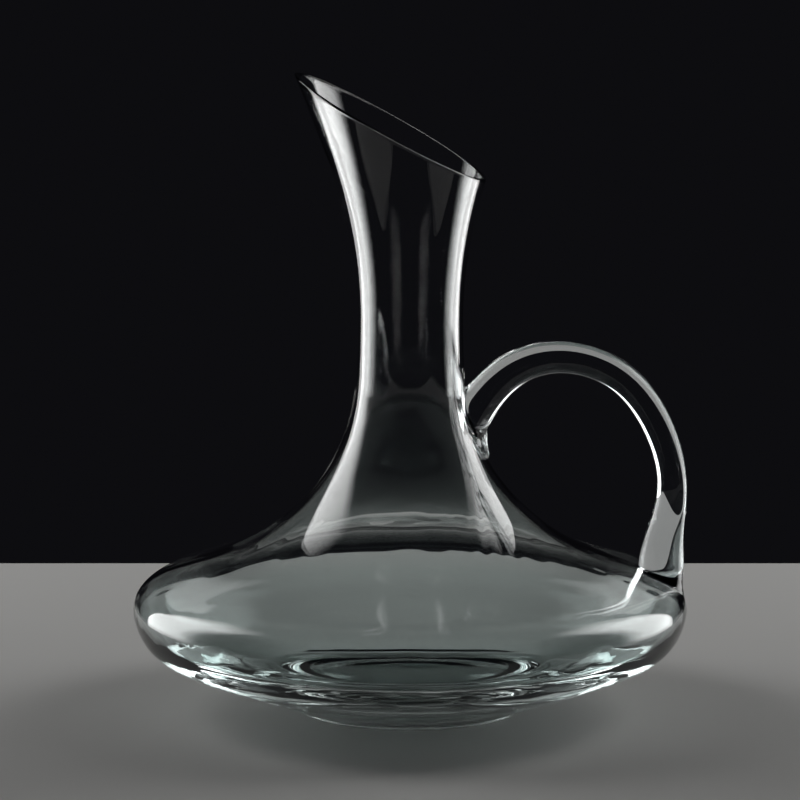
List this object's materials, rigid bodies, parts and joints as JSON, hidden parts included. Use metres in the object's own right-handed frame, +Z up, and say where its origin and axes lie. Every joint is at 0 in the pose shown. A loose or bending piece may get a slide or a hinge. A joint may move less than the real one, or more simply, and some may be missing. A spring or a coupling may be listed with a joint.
{
  "type": "wine decanter",
  "caption": "Clear glass wine decanter: wide low bowl, slim neck with a slant-cut pouring mouth, and a looped rod handle from the neck to the bowl's shoulder.",
  "frame": {"origin": "on the bowl's axis, in the plane of the foot ring, so z = 0 is the table", "axes": "+Z up along the bowl's axis, +X towards the handle, -X towards the pouring tip, Y across"},
  "size_m": [0.2199, 0.22, 0.254],
  "materials": {
    "vessel_glass": "clear, fire-polished",
    "handle_glass": "clear, fire-polished, solid rod"
  },
  "bodies": {
    "root": {"vessel": "vessel_glass", "handle": "handle_glass", "handle_tail": "handle_glass"}
  },
  "joints": []
}
